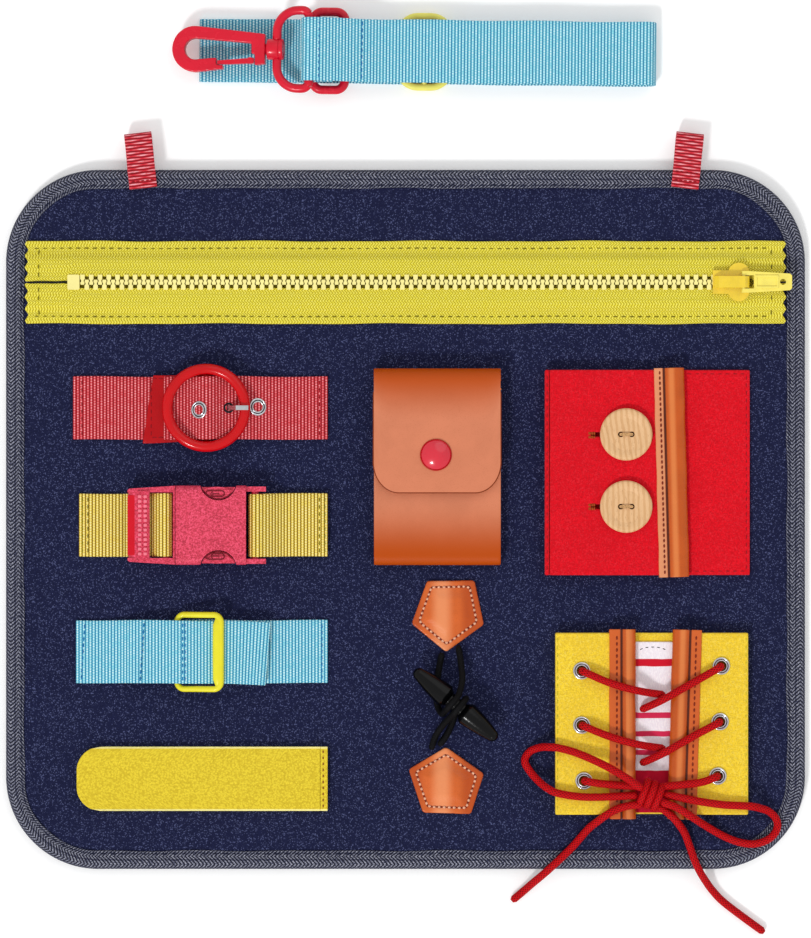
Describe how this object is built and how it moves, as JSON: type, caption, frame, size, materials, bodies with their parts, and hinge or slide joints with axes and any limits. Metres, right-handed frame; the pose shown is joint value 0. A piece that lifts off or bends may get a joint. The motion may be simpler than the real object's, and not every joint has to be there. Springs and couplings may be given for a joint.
{
  "type": "busy board",
  "caption": "Soft felt activity board with a zip, buckled straps, snap pouch, toggle, buttoned flap, laced panel, hanging loops and a loose hooked carry strap.",
  "frame": {"origin": "centre of the board's underside, where it lies on a table", "axes": "+Z out of the working face, +Y towards the edge with the hanging loops, +X to the right as one looks at the working face"},
  "size_m": [0.32, 0.372, 0.0207],
  "materials": {
    "navy_felt": "matte",
    "stiff_core": "matte",
    "navy_binding": "matte",
    "red_ribbon": "satin",
    "zip_tape": "matte",
    "zip_teeth": "satin",
    "slider_gold": "satin",
    "pull_yellow": "satin",
    "red_webbing": "matte",
    "ring_red": "gloss",
    "red_leather": "matte",
    "bare_steel": "satin",
    "yellow_webbing": "matte",
    "clip_coral": "satin",
    "blue_webbing": "matte",
    "lime_plastic": "satin",
    "touch_tape": "matte",
    "tan_leather": "matte",
    "snap_red": "gloss",
    "orange_leather": "matte",
    "black_cord": "matte",
    "dark_horn": "gloss",
    "red_felt": "matte",
    "pale_wood": "satin",
    "brown_thread": "matte",
    "yellow_felt": "matte",
    "white_felt": "matte",
    "red_lace": "matte",
    "hook_red": "satin",
    "sky_webbing": "matte"
  },
  "bodies": {
    "board": {"back_felt": "navy_felt", "board_core": "stiff_core", "front_felt": "navy_felt", "edge_binding": "navy_binding", "hang_loops": "red_ribbon", "zip_tape_upper": "zip_tape", "zip_tape_lower": "zip_tape", "zip_teeth": "zip_teeth", "ring_strap_left": "red_webbing", "ring_strap_right": "red_webbing", "ring_buckle": "ring_red", "ring_tab": "red_leather", "ring_eyelets": "bare_steel", "clip_strap_left": "yellow_webbing", "clip_strap_right": "yellow_webbing", "clip_socket": "clip_coral", "slide_strap_left": "blue_webbing", "slide_strap_right": "blue_webbing", "touch_tape_base": "touch_tape", "pouch_body": "tan_leather", "snap_stud": "bare_steel", "toggle_patches": "orange_leather", "toggle_cord_upper": "black_cord", "toggle_cord_lower": "black_cord", "button_base": "red_felt", "wood_buttons": "pale_wood", "button_threads": "brown_thread", "lacing_base": "yellow_felt", "lacing_tongue": "white_felt", "lacing_flaps": "yellow_felt", "lacing_bindings": "orange_leather", "lacing_eyelets": "bare_steel", "lace_crossing": "red_lace", "lace_knot": "red_lace", "lace_loop_left": "red_lace", "lace_loop_right": "red_lace", "lace_tail_left": "red_lace", "lace_tail_right": "red_lace"},
    "zip_slider": {"zip_slider": "slider_gold"},
    "zip_pull": {"zip_pull": "pull_yellow"},
    "ring_prong": {"ring_prong": "bare_steel"},
    "clip_plug": {"clip_plug": "clip_coral", "clip_strap_loop": "yellow_webbing"},
    "clip_arm_upper": {"clip_arm_upper": "clip_coral"},
    "clip_arm_lower": {"clip_arm_lower": "clip_coral"},
    "slide_buckle": {"slide_buckle": "lime_plastic"},
    "touch_flap": {"touch_tape_flap": "touch_tape"},
    "pouch_flap": {"pouch_flap": "tan_leather", "snap_cap": "snap_red", "snap_socket": "bare_steel"},
    "button_flap": {"button_flap": "red_felt", "button_flap_binding": "orange_leather"},
    "toggle_peg": {"toggle_peg": "dark_horn"},
    "carry_strap": {"carry_webbing": "sky_webbing", "carry_slider": "lime_plastic", "carry_hook_back": "hook_red"},
    "carry_gate_back": {"carry_gate_back": "hook_red"},
    "carry_eye_front": {"carry_eye_front": "hook_red"},
    "carry_hook_front": {"carry_hook_front": "hook_red"},
    "carry_gate_front": {"carry_gate_front": "hook_red"}
  },
  "joints": [
    {"name": "zip_slide", "type": "slide", "parent": "board", "child": "zip_slider", "axis": [1, 0, 0], "range_m": [-0.252, 0], "deforming": ["zip_teeth"]},
    {"name": "zip_pull_flip", "type": "hinge", "parent": "zip_slider", "child": "zip_pull", "pos_m": [0.1349, 0.0948, 0.0132], "axis": [0, -1, 0], "range_deg": [0, 125]},
    {"name": "ring_prong_lift", "type": "hinge", "parent": "board", "child": "ring_prong", "pos_m": [-0.0795, 0.0446, 0.01025], "axis": [0, -1, 0], "range_deg": [0, 95], "deforming": ["ring_strap_right", "ring_eyelets"]},
    {"name": "clip_release", "type": "slide", "parent": "board", "child": "clip_plug", "axis": [-1, 0, 0], "range_m": [0, 0.028], "deforming": ["clip_arm_upper", "clip_arm_lower"]},
    {"name": "clip_press_upper", "type": "hinge", "parent": "clip_plug", "child": "clip_arm_upper", "pos_m": [-0.0918, 0.0064, 0.0118], "axis": [0, 0, -1], "range_deg": [0, 6], "stiffness_Nm_per_rad": 0.02},
    {"name": "clip_press_lower", "type": "hinge", "parent": "clip_plug", "child": "clip_arm_lower", "pos_m": [-0.0918, -0.0108, 0.0118], "axis": [0, 0, 1], "range_deg": [0, 6], "stiffness_Nm_per_rad": 0.02},
    {"name": "slide_adjust", "type": "slide", "parent": "board", "child": "slide_buckle", "axis": [1, 0, 0], "range_m": [-0.012, 0.012]},
    {"name": "touch_peel", "type": "hinge", "parent": "board", "child": "touch_flap", "pos_m": [-0.034, -0.1036, 0.00965], "axis": [0, 1, 0], "range_deg": [0, 150]},
    {"name": "pouch_flap_open", "type": "hinge", "parent": "board", "child": "pouch_flap", "pos_m": [0.0127, 0.05495, 0.0177], "axis": [-1, 0, 0], "range_deg": [0, 150]},
    {"name": "button_flap_open", "type": "hinge", "parent": "board", "child": "button_flap", "pos_m": [0.05755, 0.0188, 0.01225], "axis": [0, -1, 0], "range_deg": [0, 150], "deforming": ["button_flap"]},
    {"name": "toggle_turn", "type": "hinge", "parent": "board", "child": "toggle_peg", "pos_m": [0.02, -0.0737, 0.0149], "axis": [0, 0, 1], "range_deg": [-50, 40], "deforming": ["toggle_cord_upper", "toggle_cord_lower"]},
    {"name": "carry_lift", "type": "slide", "parent": "board", "child": "carry_strap", "axis": [0, 0, 1], "range_m": [0, 0.06]},
    {"name": "carry_gate_back_press", "type": "hinge", "parent": "carry_strap", "child": "carry_gate_back", "pos_m": [-0.01335, 0.19194, 0.0059], "axis": [0, 0, -1], "range_deg": [0, 20], "stiffness_Nm_per_rad": 0.02},
    {"name": "carry_eye_tilt", "type": "hinge", "parent": "carry_strap", "child": "carry_eye_front", "pos_m": [-0.0386, 0.1876, 0.0125], "axis": [0.0105, 0.9999, 0], "range_deg": [0, 100]},
    {"name": "carry_hook_swivel", "type": "hinge", "parent": "carry_eye_front", "child": "carry_hook_front", "pos_m": [-0.0386, 0.1876, 0.0125], "axis": [0.9937, -0.0104, 0.1113], "range_deg": [-12, 12]},
    {"name": "carry_gate_front_press", "type": "hinge", "parent": "carry_hook_front", "child": "carry_gate_front", "pos_m": [-0.06211, 0.18325, 0.00987], "axis": [0.1113, -0.0012, -0.9938], "range_deg": [0, 20], "stiffness_Nm_per_rad": 0.02}
  ]
}
